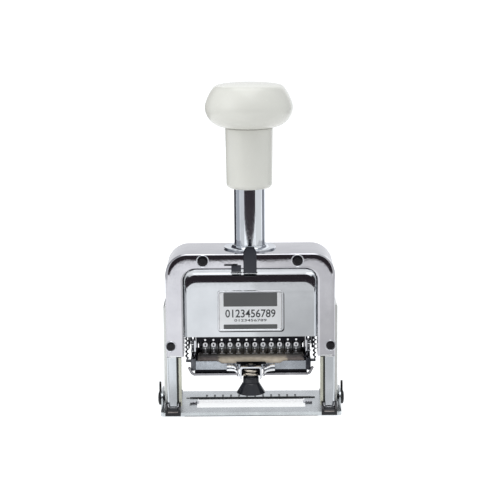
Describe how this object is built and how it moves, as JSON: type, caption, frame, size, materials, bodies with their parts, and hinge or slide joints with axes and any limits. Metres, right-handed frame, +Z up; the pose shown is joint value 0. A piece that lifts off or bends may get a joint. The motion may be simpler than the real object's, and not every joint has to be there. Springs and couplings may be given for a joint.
{
  "type": "numbering machine",
  "caption": "Hand numbering stamp with a mushroom press knob over a chrome frame, a row of number wheels, a swinging ink pad and a windowed base plate.",
  "frame": {"origin": "middle of the underside of the base plate, under the axis of the number wheels", "axes": "+Z up along the press knob, -Y the front with the label panel, +X to the right seen from the front"},
  "size_m": [0.0936, 0.0438, 0.1637],
  "materials": {
    "chrome": "polished",
    "chrome_casting": "polished",
    "steel": "satin",
    "dark_steel": "satin",
    "base_steel": "satin",
    "ivory_plastic": "glossy",
    "black_plastic": "glossy",
    "black_steel": "satin",
    "label": "satin",
    "wheel_metal": "satin",
    "felt": "matte",
    "dots": "matte",
    "rubber": "matte",
    "spring_steel": "bright",
    "brass": "satin"
  },
  "bodies": {
    "outer_frame": {"base_plate": "base_steel", "base_tick_marks": "dark_steel", "window_rule": "dark_steel", "gauge_tabs": "steel", "outer_casting": "chrome_casting", "barrel_flange": "chrome", "barrel_tube": "chrome", "top_screws": "black_steel", "leg_screws": "black_steel", "buffer_pads": "rubber", "leg_left": "chrome", "leg_right": "chrome", "shoe_left": "black_plastic", "shoe_right": "black_plastic", "main_spring": "spring_steel"},
    "plunger_unit": {"knob_head": "ivory_plastic", "knob_skirt": "ivory_plastic", "plunger_rod": "steel", "rod_nut": "steel", "inner_frame": "steel", "front_panel": "chrome", "back_panel": "chrome", "label_plate": "label", "index_bar": "black_steel", "index_dots": "dots", "wheel_shaft": "steel", "shaft_collars": "brass", "pivot_pins": "steel", "pivot_spacers": "steel", "detent_comb": "spring_steel"},
    "feed_swing": {"swing_frame": "dark_steel", "feed_pawls": "dark_steel"},
    "pad_holder": {"pad_tray": "steel", "felt_pad": "felt", "side_springs": "spring_steel", "pad_bracket": "chrome", "knob_spring": "spring_steel"},
    "pad_release": {"release_knob": "black_plastic"},
    "stopper": {"stopper_tab": "black_plastic"},
    "selector": {"repeat_selector": "black_plastic"},
    "side_knob_left_body": {"side_knob_left": "black_plastic"},
    "side_knob_right_body": {"side_knob_right": "black_plastic"},
    "number_wheel_01_body": {"number_wheel_01": "wheel_metal"},
    "number_wheel_02_body": {"number_wheel_02": "wheel_metal"},
    "number_wheel_03_body": {"number_wheel_03": "wheel_metal"},
    "number_wheel_04_body": {"number_wheel_04": "wheel_metal"},
    "number_wheel_05_body": {"number_wheel_05": "wheel_metal"},
    "number_wheel_06_body": {"number_wheel_06": "wheel_metal"},
    "number_wheel_07_body": {"number_wheel_07": "wheel_metal"},
    "number_wheel_08_body": {"number_wheel_08": "wheel_metal"},
    "number_wheel_09_body": {"number_wheel_09": "wheel_metal"},
    "number_wheel_10_body": {"number_wheel_10": "wheel_metal"},
    "number_wheel_11_body": {"number_wheel_11": "wheel_metal"},
    "number_wheel_12_body": {"number_wheel_12": "wheel_metal"}
  },
  "joints": [
    {"name": "plunger_slide", "type": "slide", "parent": "outer_frame", "child": "plunger_unit", "axis": [0, 0, -1], "range_m": [0, 0.0268], "stiffness_N_per_m": 260, "springref_m": -0.03, "deforming": ["main_spring"]},
    {"name": "pad_swing", "type": "hinge", "parent": "plunger_unit", "child": "pad_holder", "pos_m": [0, -0.00185, 0.03835], "axis": [-1, 0, 0], "range_deg": [0, 92.2]},
    {"name": "feed_swing_hinge", "type": "hinge", "parent": "plunger_unit", "child": "feed_swing", "pos_m": [0, 0, 0.0365], "axis": [1, 0, 0], "range_deg": [0, 36.2]},
    {"name": "pad_release_push", "type": "slide", "parent": "pad_holder", "child": "pad_release", "axis": [0, 0, 1], "range_m": [0, 0.0025], "stiffness_N_per_m": 200, "springref_m": -0.002, "deforming": ["knob_spring"]},
    {"name": "stopper_slide", "type": "slide", "parent": "outer_frame", "child": "stopper", "axis": [0, 0, -1], "range_m": [0, 0.002]},
    {"name": "selector_slide", "type": "slide", "parent": "outer_frame", "child": "selector", "axis": [-1, 0, 0], "range_m": [0, 0.004]},
    {"name": "side_knob_left_turn", "type": "hinge", "parent": "outer_frame", "child": "side_knob_left_body", "pos_m": [-0.0458, -0.0055, 0.0055], "axis": [1, 0, 0], "range_deg": [0, 90]},
    {"name": "side_knob_right_turn", "type": "hinge", "parent": "outer_frame", "child": "side_knob_right_body", "pos_m": [0.0458, -0.0055, 0.0055], "axis": [1, 0, 0], "range_deg": [0, 90]},
    {"name": "number_wheel_01_spin", "type": "hinge", "parent": "plunger_unit", "child": "number_wheel_01_body", "pos_m": [-0.02266, 0, 0.0365], "axis": [1, 0, 0], "continuous": true},
    {"name": "number_wheel_02_spin", "type": "hinge", "parent": "plunger_unit", "child": "number_wheel_02_body", "pos_m": [-0.01854, 0, 0.0365], "axis": [1, 0, 0], "continuous": true},
    {"name": "number_wheel_03_spin", "type": "hinge", "parent": "plunger_unit", "child": "number_wheel_03_body", "pos_m": [-0.01442, 0, 0.0365], "axis": [1, 0, 0], "continuous": true},
    {"name": "number_wheel_04_spin", "type": "hinge", "parent": "plunger_unit", "child": "number_wheel_04_body", "pos_m": [-0.0103, 0, 0.0365], "axis": [1, 0, 0], "continuous": true},
    {"name": "number_wheel_05_spin", "type": "hinge", "parent": "plunger_unit", "child": "number_wheel_05_body", "pos_m": [-0.00618, 0, 0.0365], "axis": [1, 0, 0], "continuous": true},
    {"name": "number_wheel_06_spin", "type": "hinge", "parent": "plunger_unit", "child": "number_wheel_06_body", "pos_m": [-0.00206, 0, 0.0365], "axis": [1, 0, 0], "continuous": true},
    {"name": "number_wheel_07_spin", "type": "hinge", "parent": "plunger_unit", "child": "number_wheel_07_body", "pos_m": [0.00206, 0, 0.0365], "axis": [1, 0, 0], "continuous": true},
    {"name": "number_wheel_08_spin", "type": "hinge", "parent": "plunger_unit", "child": "number_wheel_08_body", "pos_m": [0.00618, 0, 0.0365], "axis": [1, 0, 0], "continuous": true},
    {"name": "number_wheel_09_spin", "type": "hinge", "parent": "plunger_unit", "child": "number_wheel_09_body", "pos_m": [0.0103, 0, 0.0365], "axis": [1, 0, 0], "continuous": true},
    {"name": "number_wheel_10_spin", "type": "hinge", "parent": "plunger_unit", "child": "number_wheel_10_body", "pos_m": [0.01442, 0, 0.0365], "axis": [1, 0, 0], "continuous": true},
    {"name": "number_wheel_11_spin", "type": "hinge", "parent": "plunger_unit", "child": "number_wheel_11_body", "pos_m": [0.01854, 0, 0.0365], "axis": [1, 0, 0], "continuous": true},
    {"name": "number_wheel_12_spin", "type": "hinge", "parent": "plunger_unit", "child": "number_wheel_12_body", "pos_m": [0.02266, 0, 0.0365], "axis": [1, 0, 0], "continuous": true}
  ],
  "couplings": [
    {"joint": "pad_swing", "follows": "plunger_slide", "rad_per_m": 59.914},
    {"joint": "feed_swing_hinge", "follows": "plunger_slide", "rad_per_m": 23.445}
  ]
}
